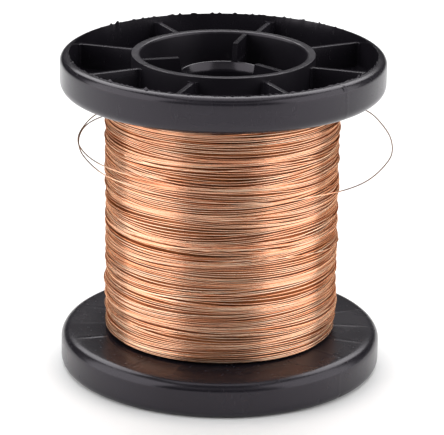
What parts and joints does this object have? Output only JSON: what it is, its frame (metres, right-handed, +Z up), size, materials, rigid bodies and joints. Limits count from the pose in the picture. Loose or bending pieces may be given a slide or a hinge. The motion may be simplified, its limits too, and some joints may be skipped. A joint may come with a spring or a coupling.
{
  "type": "wire spool",
  "caption": "Plastic spool with a bored barrel and two ribbed, dished flanges, wound with fine bare copper wire whose last turns have sprung free.",
  "frame": {"origin": "centre of the end face that the spool stands on", "axes": "+Z up along the spool's axis; azimuth 0 looks along +Y"},
  "size_m": [0.0823, 0.0806, 0.08],
  "materials": {
    "flange_plastic": "black moulded ABS, semi-gloss, with light scuffs",
    "barrel_plastic": "black moulded ABS, semi-gloss, sawn end faces slightly lighter",
    "hub_plastic": "black moulded ABS, semi-gloss",
    "copper_wire": "bright bare copper wire, 0.3 mm round"
  },
  "bodies": {
    "root": {"barrel": "barrel_plastic", "bottom_flange": "flange_plastic", "bottom_hub": "hub_plastic", "top_flange": "flange_plastic", "top_hub": "hub_plastic", "wire_winding": "copper_wire", "loose_wire": "copper_wire"}
  },
  "joints": []
}
